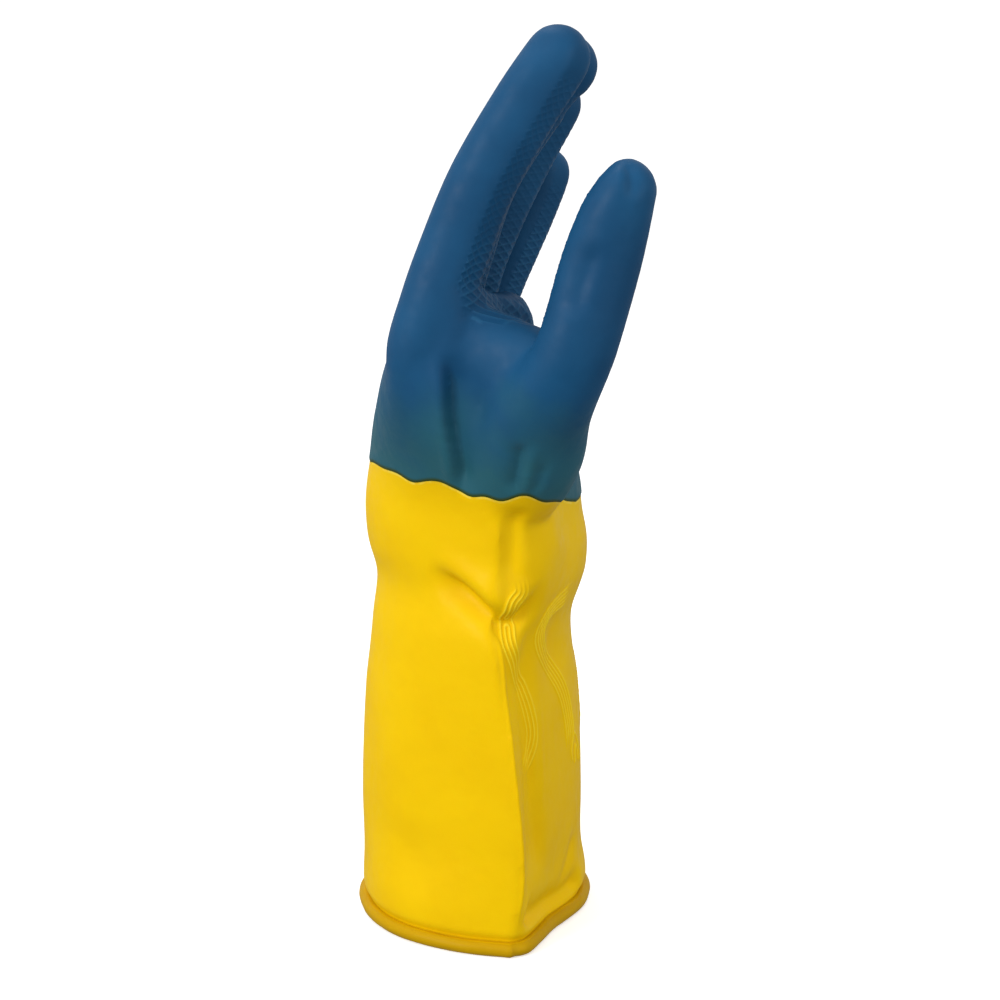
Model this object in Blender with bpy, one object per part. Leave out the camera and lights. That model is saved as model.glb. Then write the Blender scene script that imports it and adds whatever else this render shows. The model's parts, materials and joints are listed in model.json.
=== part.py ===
"""A dipped rubber glove for the left hand, standing on its rolled cuff.

The fingers point up (+Z), the palm faces +X, the back of the hand -X and the thumb side -Y.
A natural latex body with a rolled bead carries a neoprene overdip from the wrist to the
fingertips, and a cotton flock lining inside. The skin bends along flex lines: each stretch
between two flex lines is its own piece, and a flex band fills the V-shaped room at each line.

Lengths in the tables are millimetres, from an axis up the middle of the sleeve and from the
floor. to_frame() turns them into metres from the middle of the glove's box.
"""

from collections import namedtuple
from math import copysign, cos, pi, radians, sin, tan

import bmesh
import bpy
from mathutils import Matrix, Vector

MM = 0.001
BOX_MIDDLE_X = 8.46  # the sleeve's axis stands this far behind the middle of the box
BOX_MIDDLE_Y = -5.49

# Skin, from the outside in
CLEARANCE = 0.3
OVERDIP_WALL = 0.7
LATEX_WALL = 1.0
FLOCK_WALL = 0.6
LATEX_INSET = OVERDIP_WALL + CLEARANCE
FLOCK_INSET = LATEX_INSET + LATEX_WALL + CLEARANCE
BAND_WALL = LATEX_INSET + LATEX_WALL  # overdip and latex together

# Flex lines
FLEX_HALF_GAP = 0.8  # half the height of a flex band on its hinge line
EXTENSION_DEG = 15
FINGER_BASE_FLEXION_DEG = 45
FINGER_MIDDLE_FLEXION_DEG = 70
FINGER_TIP_FLEXION_DEG = 30
THUMB_BASE_FLEXION_DEG = 45
THUMB_TIP_FLEXION_DEG = 60
THUMB_EXTENSION_DEG = 20
WRIST_FLEXION_DEG = 45
WRIST_EXTENSION_DEG = 30
WRIST_HEIGHT = 130.0
WRIST_CUT_MARGIN = 1.0  # the band's faceted edge stands this proud of its plane

# The cuff: a rolled bead with a flat underneath, and the sleeve above it
BEAD_HEIGHT = 5.0
SLEEVE_BOTTOM = BEAD_HEIGHT + CLEARANCE
LINING_BOTTOM = 25.0
SLEEVE_SIDES = 28
DIGIT_SIDES = 12
CUFF_OUTLINE = [  # (x, y) round the opening, from the crease on the thumb side towards the palm
    (10, -41),
    (19, -35.5),
    (25, -22),
    (32.5, -8),
    (40, 8),
    (42, 28),
    (35, 50),
    (16, 62.5),
    (-8, 63.5),
    (-31, 51),
    (-42, 28),
    (-41, 4),
    (-31, -16),
    (-12, -31),
]
SLEEVE_SPAN = [  # (z, x at the back of the hand, x at the palm side)
    (0, -42.8, 42.8),
    (47, -43.6, 41.5),
    (92, -41.4, 39.2),
    (WRIST_HEIGHT, -37.5, 39.5),
    (150, -39.8, 42.0),
    (170, -40.5, 40.1),
]

# The palm: superellipses that turn towards the thumb side and lean with the knuckles
PalmSection = namedtuple("PalmSection", "z x y half_depth half_width turn_deg slant lean")
PALM_SECTIONS = [
    PalmSection(195, -4.7, 4.0, 32.7, 50.0, 6, 0.0, 0.0),
    PalmSection(215, -3.0, 0.0, 24.2, 48.0, 10, 0.08, 0.1),
    PalmSection(232, -1.0, -1.5, 18.5, 46.5, 13, 0.18, 0.25),
    PalmSection(245, -0.5, -2.0, 14.8, 45.0, 13, 0.22, 0.35),
]
PALM_SQUARENESS = 2.6
KNUCKLE_PIVOT_Y = -12.0  # slanted sections keep their height here
OVERDIP_EDGE_HEIGHT = 173.0
OVERDIP_EDGE_SLOPE = 0.1  # the overdip's edge drops this much per millimetre towards the palm

# Digits: joint centres from the base up, then the centre of the rounded tip. Each has the
# radius in the bending plane and the radius along its hinge line.
Joint = namedtuple("Joint", "x y z depth width")
FINGER_JOINTS = {
    "index": [
        Joint(-6.7, -36.0, 259.5, 12.0, 11.5),
        Joint(3.5, -36.0, 284.5, 11.6, 11.5),
        Joint(17.6, -36.0, 309.0, 11.4, 11.5),
        Joint(29.1, -36.0, 326.2, 11.2, 11.2),
    ],
    "middle": [
        Joint(-4.5, -12.0, 260.5, 12.0, 11.5),
        Joint(4.5, -12.0, 284.6, 11.6, 11.5),
        Joint(19.7, -12.0, 308.1, 11.4, 11.5),
        Joint(32.6, -12.0, 323.4, 11.2, 11.2),
    ],
    "ring": [
        Joint(-0.3, 12.0, 253.0, 11.6, 11.0),
        Joint(9.1, 12.0, 274.0, 11.2, 11.0),
        Joint(18.9, 12.0, 293.2, 11.0, 11.0),
        Joint(28.3, 12.0, 309.5, 10.8, 10.8),
    ],
    "little": [
        Joint(8.0, 33.8, 242.0, 10.2, 9.8),
        Joint(14.6, 33.8, 257.0, 10.0, 9.8),
        Joint(21.0, 33.8, 271.0, 9.9, 9.8),
        Joint(26.2, 33.8, 283.5, 9.7, 9.7),
    ],
}
THUMB_JOINTS = [
    Joint(33.4, -61.2, 225.0, 12.0, 13.6),
    Joint(43.9, -63.6, 261.0, 11.6, 12.6),
    Joint(50.4, -66.0, 283.5, 10.8, 10.8),
]
THENAR_JOINTS = [  # the thumb's root, out of the side of the palm
    Joint(6.0, -18.0, 172.0, 27.0, 27.0),
    Joint(20.0, -41.0, 196.0, 19.0, 20.0),
]
FINGER_HINGE_LINE = Vector((0, 1, 0))
THUMB_BEND_TOWARDS = Vector((-0.2, 0.98, 0))
STUB_BELOW = 18.0  # how far a finger's root reaches down into the palm
STUB_ABOVE = 9.0
TIP_RING_DEG = (30, 60)


def to_frame(point):
    """A point in millimetres from the sleeve's axis, as metres in the glove's own frame."""
    return Vector((point[0] - BOX_MIDDLE_X, point[1] - BOX_MIDDLE_Y, point[2])) * MM


def clear_scene():
    for obj in list(bpy.data.objects):
        bpy.data.objects.remove(obj, do_unlink=True)


def make_material(name, colour, roughness):
    material = bpy.data.materials.new(name)
    material.use_nodes = True
    shader = material.node_tree.nodes["Principled BSDF"]
    shader.inputs["Base Color"].default_value = (*colour, 1)
    shader.inputs["Roughness"].default_value = roughness
    shader.inputs["Metallic"].default_value = 0
    return material


def new_object(name, bm):
    mesh = bpy.data.meshes.new(name)
    bm.to_mesh(mesh)
    bm.free()
    obj = bpy.data.objects.new(name, mesh)
    parts.objects.link(obj)
    return obj


def add_rings(bm, rings):
    """Vertices on each ring, and quads between one ring and the next, facing outwards."""
    rows = [[bm.verts.new(to_frame(point)) for point in ring] for ring in rings]
    for lower, upper in zip(rows, rows[1:]):
        for i in range(len(lower)):
            k = (i + 1) % len(lower)
            bm.faces.new((lower[i], lower[k], upper[k], upper[i]))
    return rows


def join_rims(bm, outer, inner):
    """Quads between the outer and the inner ring of a rim, for a rim that faces down."""
    for i in range(len(outer)):
        k = (i + 1) % len(outer)
        bm.faces.new((outer[k], outer[i], inner[i], inner[k]))


def close_top(bm, ring, pole):
    apex = bm.verts.new(to_frame(pole))
    for i in range(len(ring)):
        bm.faces.new((ring[i], ring[(i + 1) % len(ring)], apex))


def skin(name, shape, inset, wall):
    """A tube with a wall. shape(inset) gives the rings of a surface that far in, from the bottom
    up, and the pole that closes its top, or None where the top is open too. The rims follow the
    rings, so that they keep to the planes beside a hinge."""
    bm = bmesh.new()
    outer_rings, outer_pole = shape(inset)
    inner_rings, inner_pole = shape(inset + wall)
    outer = add_rings(bm, outer_rings)
    if outer_pole is not None:
        close_top(bm, outer[-1], outer_pole)
    shell = bm.faces[:]
    inner = add_rings(bm, inner_rings)
    if inner_pole is not None:
        close_top(bm, inner[-1], inner_pole)
    cavity = list(set(bm.faces) - set(shell))
    bmesh.ops.reverse_faces(bm, faces=cavity)
    join_rims(bm, outer[0], inner[0])
    if outer_pole is None:
        join_rims(bm, inner[-1], outer[-1])
    return new_object(name, bm)


def solid(name, rings):
    """A closed body through the rings, with a flat face on each end."""
    bm = bmesh.new()
    rows = add_rings(bm, rings)
    bm.faces.new(list(reversed(rows[0])))
    bm.faces.new(rows[-1])
    bmesh.ops.triangulate(bm, faces=bm.faces[:], quad_method="FIXED")
    return new_object(name, bm)


def combine(obj, others, operation):
    """Joins obj with the others, or cuts it by them, and removes them."""
    for other in others:
        modifier = obj.modifiers.new(other.name, "BOOLEAN")
        modifier.operation = operation
        modifier.solver = "EXACT"
        modifier.object = other
    bpy.context.view_layer.update()
    evaluated = obj.evaluated_get(bpy.context.evaluated_depsgraph_get())
    mesh = bpy.data.meshes.new_from_object(evaluated)
    obj.modifiers.clear()
    obj.data = mesh
    for other in others:
        bpy.data.objects.remove(other, do_unlink=True)
    return obj


# ---------------------------------------------------------------- outlines of the sleeve and palm


def closed_curve(points, count):
    """count places round the closed Catmull-Rom curve through the points."""
    places = []
    for i in range(count):
        whole, part = divmod(i * len(points) / count, 1)
        a, b, c, d = (Vector(points[(int(whole) + k - 1) % len(points)]) for k in range(4))
        bend = (2 * a - 5 * b + 4 * c - d) * part**2 + (3 * b - a - 3 * c + d) * part**3
        places.append((2 * b + (c - a) * part + bend) / 2)
    return places


def inset_outline(outline, distance):
    """The outline moved inwards, square to itself."""
    moved = []
    for i, place in enumerate(outline):
        along = (outline[(i + 1) % len(outline)] - outline[i - 1]).normalized()
        moved.append(place + Vector((-along.y, along.x)) * distance)
    return moved


def span_at(z):
    """The sleeve's x at the back of the hand and at the palm side, at height z."""
    for (z0, back0, palm0), (z1, back1, palm1) in zip(SLEEVE_SPAN, SLEEVE_SPAN[1:]):
        if z <= z1:
            share = (z - z0) / (z1 - z0)
            return back0 + (back1 - back0) * share, palm0 + (palm1 - palm0) * share
    return SLEEVE_SPAN[-1][1:]


def sleeve_outline(z, inset):
    """The sleeve at height z: the cuff's outline, fitted between the two sides there."""
    back, palm = span_at(z)
    cuff_back, cuff_palm = SLEEVE_SPAN[0][1:]
    scale = (palm - back) / (cuff_palm - cuff_back)
    outline = [
        Vector((back + (place.x - cuff_back) * scale, place.y))
        for place in closed_curve(CUFF_OUTLINE, SLEEVE_SIDES)
    ]
    return inset_outline(outline, inset)


def sleeve_ring(z, inset):
    return [(place.x, place.y, z) for place in sleeve_outline(z, inset)]


def palm_ring(section, inset):
    """A superellipse ring, turned about Z, slanted along the knuckles and leaning to the palm."""
    across = Vector((cos(radians(section.turn_deg)), -sin(radians(section.turn_deg))))
    along = Vector((-across.y, across.x))
    ring = []
    for i in range(SLEEVE_SIDES):
        angle = 2 * pi * i / SLEEVE_SIDES
        depth = copysign(abs(sin(angle)) ** (2 / PALM_SQUARENESS), sin(angle))
        width = -copysign(abs(cos(angle)) ** (2 / PALM_SQUARENESS), cos(angle))
        place = Vector((section.x, section.y))
        place += across * depth * (section.half_depth - inset)
        place += along * width * (section.half_width - inset)
        z = section.z - section.slant * (place.y - KNUCKLE_PIVOT_Y)
        z -= section.lean * (place.x - section.x)
        ring.append((place.x, place.y, z))
    return ring


def wrist_ring(side, inset, margin):
    """The sleeve's outline where it meets the wrist's flex band, below it (-1) or above it (1)."""
    ring = []
    for place in sleeve_outline(WRIST_HEIGHT, inset):
        away = room_beside_hinge(place.x, WRIST_FLEXION_DEG, WRIST_EXTENSION_DEG) + margin
        ring.append((place.x, place.y, WRIST_HEIGHT + side * away))
    return ring


def room_beside_hinge(reach, flexion_deg, extension_deg):
    """Half the height of a flex band, a distance of reach from its hinge line, palm side positive."""
    half_angle = flexion_deg / 2 if reach > 0 else extension_deg / 2
    return FLEX_HALF_GAP + abs(reach) * tan(radians(half_angle))


# ---------------------------------------------------------------- digits

Frame = namedtuple("Frame", "centre along bend hinge depth width")


def place_of(joint):
    return Vector((joint.x, joint.y, joint.z))


def digit_frames(joints, hinge_line):
    """At each joint: its centre, the digit's direction there, the direction that it bends to and
    its hinge line. The direction is midway between the stretch below and the stretch above."""
    frames = []
    for i, joint in enumerate(joints):
        here = place_of(joint)
        above = place_of(joints[i + 1]) - here if i + 1 < len(joints) else None
        below = here - place_of(joints[i - 1]) if i else above
        along = (below.normalized() + (above or below).normalized()).normalized()
        bend = hinge_line.cross(along).normalized()
        frames.append(Frame(here, along, bend, hinge_line, joint.depth, joint.width))
    return frames


def thumb_hinge_line():
    thumb = place_of(THUMB_JOINTS[1]) - place_of(THUMB_JOINTS[0])
    return thumb.cross(THUMB_BEND_TOWARDS).normalized()


def digit_ring(frame, inset, lift=0.0, scale=1.0, side=0, bends=None, margin=0.0):
    """A ring round a digit. With side -1 or 1 it is the edge of the piece below or above a hinge
    that bends by bends = (flexion, extension) degrees, and margin moves it off the flex band."""
    ring = []
    for i in range(DIGIT_SIDES):
        angle = 2 * pi * i / DIGIT_SIDES
        reach = (frame.depth - inset) * scale * cos(angle)
        across = (frame.width - inset) * scale * sin(angle)
        away = side * (room_beside_hinge(reach, *bends) + margin) if side else 0
        place = frame.centre + frame.bend * reach + frame.hinge * across
        ring.append(place + frame.along * (lift + away))
    return ring


def outward(ring_list, frame):
    """Rings go round so that their quads face outwards, whichever way the hinge line points."""
    turning = frame.bend.cross(frame.hinge).dot(frame.along)
    return ring_list if turning > 0 else [list(reversed(ring)) for ring in ring_list]


def stretch_shape(low, high, low_bends, high_bends):
    """The surface of a stretch between two flex bands."""

    def shape(inset):
        rings = [
            digit_ring(low, inset, side=1, bends=low_bends),
            digit_ring(high, inset, side=-1, bends=high_bends),
        ]
        return outward(rings, low), None

    return shape


def tip_shape(low, ball, low_bends):
    """The surface of the rounded stretch above a digit's last flex band."""

    def shape(inset):
        rings = [digit_ring(low, inset, side=1, bends=low_bends), digit_ring(ball, inset)]
        radius = ball.depth - inset
        for angle in map(radians, TIP_RING_DEG):
            rings.append(digit_ring(ball, inset, lift=radius * sin(angle), scale=cos(angle)))
        return outward(rings, low), ball.centre + ball.along * radius

    return shape


def band_shape(frame, bends):
    """The surface of a flex band, clear of the stretches on both sides."""

    def shape(inset):
        rings = [
            digit_ring(frame, inset, side=side, bends=bends, margin=-CLEARANCE)
            for side in (-1, 1)
        ]
        return outward(rings, frame), None

    return shape


def make_digit(name, frames, stretches, bands, bends):
    """The latex and overdip of each stretch of a digit, with the flex band under it. Returns a
    list of these groups, from the base up."""
    groups = []
    for i, (stretch, band) in enumerate(zip(stretches, bands)):
        if i + 1 < len(stretches):
            shape = stretch_shape(frames[i], frames[i + 1], bends[i], bends[i + 1])
        else:
            shape = tip_shape(frames[i], frames[i + 1], bends[i])
        latex = skin(f"{name}_{stretch}_latex", shape, LATEX_INSET, LATEX_WALL)
        overdip = skin(f"{name}_{stretch}_overdip", shape, 0, OVERDIP_WALL)
        flex = skin(f"{name}_{band}_flex", band_shape(frames[i], bends[i]), 0, BAND_WALL)
        dress(latex, "latex")
        dress(overdip, "overdip")
        dress(flex, "overdip")
        groups.append([latex, overdip, flex])
    return groups


# ---------------------------------------------------------------- the hand


def palm_solid(inset):
    """The palm, from below the wrist. A deeper one starts lower, so that it cuts right through."""
    rings = [sleeve_ring(z, inset) for z in (105 - inset, WRIST_HEIGHT, 150, 170)]
    rings += [palm_ring(section, inset) for section in PALM_SECTIONS]
    top = Vector((0, 0, -inset))
    rings[-1] = [Vector(point) + top for point in rings[-1]]
    return solid("palm_solid", rings)


def finger_root(frame, inset):
    """A finger's root, from inside the palm to past its base hinge."""
    rings = [
        digit_ring(frame, inset, lift=-STUB_BELOW + inset),
        digit_ring(frame, inset, lift=STUB_ABOVE + inset),
    ]
    return solid("finger_root", outward(rings, frame))


def thumb_root(frame, inset):
    roots = digit_frames([*THENAR_JOINTS, THUMB_JOINTS[0]], frame.hinge)
    rings = [digit_ring(roots[0], inset, lift=inset), digit_ring(roots[1], inset)]
    rings.append(digit_ring(frame, inset, lift=-STUB_ABOVE))
    rings.append(digit_ring(frame, inset, lift=STUB_ABOVE + inset))
    return solid("thumb_root", outward(rings, frame))


def hand_solid(inset):
    """The whole hand from the wrist to past the base hinges, moved inwards by inset."""
    roots = [finger_root(frames[0], inset) for frames in finger_frames.values()]
    roots.append(thumb_root(thumb_frames[0], inset))
    return combine(palm_solid(inset), roots, "UNION")


def prism(name, profile, frame, half_length):
    """A bar along a hinge line, from a profile of (bend, along) places."""
    ends = []
    for side in (-1, 1):
        base = frame.centre + frame.hinge * half_length * side
        ends.append([base + frame.bend * reach + frame.along * lift for reach, lift in profile])
    bar = solid(name, ends)
    bm = bmesh.new()
    bm.from_mesh(bar.data)
    bmesh.ops.recalc_face_normals(bm, faces=bm.faces[:])
    bm.to_mesh(bar.data)
    bm.free()
    return bar


def beyond_hinge(frame, bends, side, reach, half_length, height):
    """Everything past the edge of the piece below a hinge (side 1), or above it (side -1)."""
    near_palm = room_beside_hinge(reach, *bends)
    near_back = room_beside_hinge(-reach, *bends)
    profile = [
        (-reach, -side * near_back),
        (0, -side * FLEX_HALF_GAP),
        (reach, -side * near_palm),
        (reach, side * height),
        (-reach, side * height),
    ]
    return prism("beyond_hinge", profile, frame, half_length)


def hand_openings(inset):
    """Cutters that open the hand at each finger, at the thumb and at the wrist. The deeper a
    layer lies, the further it stops short of the wrist's flex band."""
    cutters = []
    for frames in finger_frames.values():
        frame = frames[0]
        reach = frame.depth + 2
        length = frame.width + 0.4
        cutters.append(beyond_hinge(frame, FINGER_BENDS[0], 1, reach, length, 2 * STUB_ABOVE))
    frame = thumb_frames[0]
    reach = frame.depth + 2
    cutters.append(beyond_hinge(frame, THUMB_BENDS[0], 1, reach, reach + 3, 2 * STUB_ABOVE))
    lift = Vector((0, 0, inset + WRIST_CUT_MARGIN))
    wrist = wrist_frame._replace(centre=wrist_frame.centre + lift)
    cutters.append(beyond_hinge(wrist, WRIST_BENDS, -1, 60, 90, 40))
    return cutters


def overdip_edge_cutter():
    """Everything below the overdip's edge."""
    half = 120.0
    drop = OVERDIP_EDGE_SLOPE * half
    profile = [(-half, drop), (half, -drop), (half, -half), (-half, -half)]
    edge = wrist_frame._replace(centre=Vector((0, 0, OVERDIP_EDGE_HEIGHT)))
    return prism("overdip_edge", profile, edge, half)


def make_hand_layer(name, inset, wall, extra_cutters):
    layer = combine(hand_solid(inset), [hand_solid(inset + wall)], "DIFFERENCE")
    combine(layer, hand_openings(inset) + extra_cutters, "DIFFERENCE")
    layer.name = name
    layer.data.name = name
    return layer


def make_hand():
    latex = make_hand_layer("hand_latex", LATEX_INSET, LATEX_WALL, [])
    overdip = make_hand_layer("hand_overdip", 0, OVERDIP_WALL, [overdip_edge_cutter()])
    lining = make_hand_layer("hand_flock_lining", FLOCK_INSET, FLOCK_WALL, [])
    dress(latex, "latex")
    dress(overdip, "overdip")
    dress(lining, "flock")
    return [latex, overdip, lining]


# ---------------------------------------------------------------- the gauntlet


def make_bead():
    """An octagonal bead swept round the cuff, with one flat on the floor."""
    radius = BEAD_HEIGHT / 2 / cos(pi / 8)
    outline = sleeve_outline(0, LATEX_INSET + LATEX_WALL / 2)
    bm = bmesh.new()
    rows = []
    for i, place in enumerate(outline):
        along = (outline[(i + 1) % len(outline)] - outline[i - 1]).normalized()
        outwards = Vector((along.y, -along.x))
        row = []
        for k in range(8):
            angle = pi / 4 * (k + 0.5)
            spot = place + outwards * radius * cos(angle)
            z = BEAD_HEIGHT / 2 + radius * sin(angle)
            row.append(bm.verts.new(to_frame((spot.x, spot.y, z))))
        rows.append(row)
    for i, row in enumerate(rows):
        after = rows[(i + 1) % len(rows)]
        for k in range(8):
            n = (k + 1) % 8
            bm.faces.new((row[k], after[k], after[n], row[n]))
    bead = new_object("cuff_bead", bm)
    dress(bead, "latex")
    return bead


def sleeve_shape(bottom):
    """The sleeve's surface from a height up to the wrist's flex band."""

    def shape(inset):
        rings = [sleeve_ring(z, inset) for z in (bottom, 47, 92)]
        return [*rings, wrist_ring(-1, inset, 0)], None

    return shape


def wrist_band_shape(inset):
    return [wrist_ring(side, inset, -CLEARANCE) for side in (-1, 1)], None


def make_gauntlet():
    latex = skin("gauntlet_latex", sleeve_shape(SLEEVE_BOTTOM), LATEX_INSET, LATEX_WALL)
    lining = skin("gauntlet_flock_lining", sleeve_shape(LINING_BOTTOM), FLOCK_INSET, FLOCK_WALL)
    dress(latex, "latex")
    dress(lining, "flock")
    return [make_bead(), latex, lining]


def make_wrist_band():
    band = skin("wrist_flex", wrist_band_shape, LATEX_INSET, LATEX_WALL)
    dress(band, "latex")
    return band


# ---------------------------------------------------------------- assembly


def dress(obj, layer):
    obj.data.materials.clear()
    obj.data.materials.append(materials[layer])


def make_pivot(name, centre, parent):
    """An empty on a joint's axis. The pieces that the joint turns hang from it."""
    pivot = bpy.data.objects.new(name, None)
    pivot.empty_display_size = 0.01
    parts.objects.link(pivot)
    pivot.location = to_frame(centre)
    if parent is not None:
        pivot.location -= to_frame(pivot_centres[parent.name])
        pivot.parent = parent
    pivot_centres[name] = centre
    return pivot


def hang(pieces, pivot):
    for piece in pieces:
        piece.data.transform(Matrix.Translation(-to_frame(pivot_centres[pivot.name])))
        piece.parent = pivot


def hang_digit(name, groups, frames, hand_pivot):
    pivot = hand_pivot
    for i, pieces in enumerate(groups):
        pivot = make_pivot(f"{name}_pivot_{i + 1}", frames[i].centre, pivot)
        hang(pieces, pivot)


clear_scene()
parts = bpy.data.collections.new("rubber_glove")
bpy.context.scene.collection.children.link(parts)
pivot_centres = {}
materials = {
    "latex": make_material("yellow_latex", (0.92, 0.58, 0.01), 0.45),
    "overdip": make_material("blue_neoprene", (0.02, 0.1, 0.22), 0.5),
    "flock": make_material("cotton_flock", (0.85, 0.78, 0.55), 0.95),
}
FINGER_BENDS = [
    (FINGER_BASE_FLEXION_DEG, EXTENSION_DEG),
    (FINGER_MIDDLE_FLEXION_DEG, 0),
    (FINGER_TIP_FLEXION_DEG, 0),
]
FINGER_STRETCHES = ("proximal", "middle", "distal")
FINGER_BANDS = ("base", "middle", "tip")
THUMB_STRETCHES = ("proximal", "distal")
THUMB_BANDS = ("base", "tip")
THUMB_BENDS = [
    (THUMB_BASE_FLEXION_DEG, THUMB_EXTENSION_DEG),
    (THUMB_TIP_FLEXION_DEG, EXTENSION_DEG),
]
WRIST_BENDS = (WRIST_FLEXION_DEG, WRIST_EXTENSION_DEG)

finger_frames = {
    name: digit_frames(joints, FINGER_HINGE_LINE) for name, joints in FINGER_JOINTS.items()
}
thumb_frames = digit_frames(THUMB_JOINTS, thumb_hinge_line())
wrist_frame = Frame(
    Vector((0, 0, WRIST_HEIGHT)), Vector((0, 0, 1)), Vector((1, 0, 0)), Vector((0, 1, 0)), 0, 0
)

make_gauntlet()
hand_pivot = make_pivot("hand_pivot", wrist_frame.centre, None)
hang([*make_hand(), make_wrist_band()], hand_pivot)
for digit, frames in finger_frames.items():
    groups = make_digit(digit, frames, FINGER_STRETCHES, FINGER_BANDS, FINGER_BENDS)
    hang_digit(digit, groups, frames, hand_pivot)
groups = make_digit("thumb", thumb_frames, THUMB_STRETCHES, THUMB_BANDS, THUMB_BENDS)
hang_digit("thumb", groups, thumb_frames, hand_pivot)
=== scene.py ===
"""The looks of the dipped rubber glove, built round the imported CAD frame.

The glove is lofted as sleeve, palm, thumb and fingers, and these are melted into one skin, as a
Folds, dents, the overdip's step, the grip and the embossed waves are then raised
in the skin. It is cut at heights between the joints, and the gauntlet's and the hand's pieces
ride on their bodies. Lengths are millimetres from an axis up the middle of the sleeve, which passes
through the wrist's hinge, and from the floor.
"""

import json
from math import cos, pi, radians, sin

import bmesh
import bpy
import numpy as np
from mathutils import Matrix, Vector
from mathutils.bvhtree import BVHTree
from mathutils.noise import noise


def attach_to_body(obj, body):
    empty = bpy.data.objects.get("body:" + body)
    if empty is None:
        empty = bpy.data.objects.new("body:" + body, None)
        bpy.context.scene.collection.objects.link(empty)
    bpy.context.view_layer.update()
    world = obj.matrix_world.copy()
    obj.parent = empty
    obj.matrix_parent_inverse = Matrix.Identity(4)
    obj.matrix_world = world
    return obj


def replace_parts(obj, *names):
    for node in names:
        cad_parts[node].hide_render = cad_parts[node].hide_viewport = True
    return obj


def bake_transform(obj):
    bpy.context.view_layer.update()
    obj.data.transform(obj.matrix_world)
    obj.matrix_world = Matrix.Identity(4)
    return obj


MM = 0.001

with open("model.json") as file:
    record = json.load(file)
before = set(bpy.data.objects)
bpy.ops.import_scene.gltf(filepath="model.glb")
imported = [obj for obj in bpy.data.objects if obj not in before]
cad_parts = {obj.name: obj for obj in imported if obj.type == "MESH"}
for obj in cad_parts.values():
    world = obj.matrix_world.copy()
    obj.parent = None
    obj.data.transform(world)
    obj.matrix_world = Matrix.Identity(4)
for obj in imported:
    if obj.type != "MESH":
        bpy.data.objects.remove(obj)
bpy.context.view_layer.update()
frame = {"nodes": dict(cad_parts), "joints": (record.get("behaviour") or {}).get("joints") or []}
hinges = {joint["name"]: joint for joint in frame["joints"]}
wrist_hinge = Vector(hinges["wrist_bend"]["pos_m"]) / MM
SLEEVE_AXIS = Vector((wrist_hinge.x, wrist_hinge.y, 0))

# -------------------- sizes

VOXEL = 1.25
SMOOTH_ROUNDS = 13
SLEEVE_RING_STEP = 3
CURVE_STEPS = 12  # from one station of a digit or of the web to the next
OUTLINE_STEPS = 16
FLOOR_CUT = 3.4  # the skin's lower edge, inside the rolled cuff
LINING_DEPTH = 3.0
LINING_BOTTOM = 22.0
LINING_TOP = 231.0  # just below the fingers
LINING_VOXEL = 3.0
WRIST_BEND_FROM = 96.0
WRIST_BEND_TO = 162.0
RING_POINTS = 120
DIGIT_POINTS = 40
BEND_MARGIN = 1.0  # the wrist's bend starts and ends this far inside its piece

# The sleeve: (z, x at the back of the hand, x at the palm side)
SLEEVE_SPAN = [
    (-8, -43.6, 43.4), (12, -43.6, 43.4), (24, -43.2, 41.6), (47, -43.6, 41.5),
    (70, -42.9, 40.9), (92, -41.6, 39.4), (109, -39.6, 37.2), (120, -38.5, 37.4),
    (129, -37.2, 40.4), (136, -37, 42.6), (147, -40, 43), (158, -41, 41),
    (170, -40.6, 40), (182, -39, 38.5),
]
CREASE_PLACE = [  # (z, x, y) of the sharp fold up the thumb side
    (-8, 12, -40.3), (8, 14.5, -40.3), (30, 17.5, -41.5), (50, 17, -42.5),
    (85, 13.5, -42), (108, 9.5, -41), (125, 7.5, -40), (150, 9.5, -41),
    (182, 9.8, -44),
]
# From the crease to the outline's next point on either side: x and y
CREASE_SIDES = ((1.6, 1.2), (-2.56, 0.7))
# Round the sleeve from the crease to the palm side and back, as shares of the span and as y
CUFF_OUTLINE = [
    (0.73, -36.5), (0.79, -25), (0.845, -14), (0.93, -2), (0.985, 10),
    (1, 28), (0.9, 49), (0.68, 62), (0.4, 63.5), (0.13, 50),
    (0.01, 29), (0, 11), (0.07, -8.8), (0.215, -24.4), (0.435, -35.2),
]
SLEEVE_OUTLINE = [
    (0.75, -34.5), (0.82, -24), (0.9, -10), (0.97, 4), (1, 16),
    (0.99, 32), (0.9, 50), (0.68, 60.5), (0.4, 61.5), (0.14, 50),
    (0.02, 31), (0, 11), (0.08, -6), (0.23, -21), (0.42, -32.5),
]
OUTLINE_CHANGE = (12.0, 42.0)  # the heights over which one outline turns into the other

# The palm: z, centre x and y, half depth, half width, turn to the thumb side, slant and lean
PALM_SECTIONS = [
    (164, -1.5, 6, 39.5, 52, 4, 0, 0),
    (180, -2.5, 5.5, 36.5, 51.5, 5, 0, 0),
    (196, -4.2, 4, 32.5, 50, 6, 0, 0),
    (206, -4, 2, 29.2, 49, 8, 0.04, 0.05),
    (216, -3.2, 0, 25.6, 48, 10, 0.08, 0.1),
    (226, -2.2, -0.8, 20.6, 47.2, 12, 0.14, 0.18),
    (236, -1.2, -1.6, 17.4, 46.2, 13, 0.19, 0.28),
    (245, -0.8, -2, 14.9, 45, 13, 0.22, 0.35),
]
PALM_SQUARENESS = 2.6
PALM_CHANGE = (164.0, 214.0)
KNUCKLE_PIVOT_Y = -12.0
PALM_TOP = 244

DIGIT_SQUARENESS = (2.25, 2.9)  # of the back and of the palm side
DIGIT_FACET = 1.34  # cuts off the palm side's corners; 1.57 would leave them whole
TIP_RING_DEGREES = (12, 24, 36, 48, 59, 69, 78, 85)  # round the end of a digit
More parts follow.
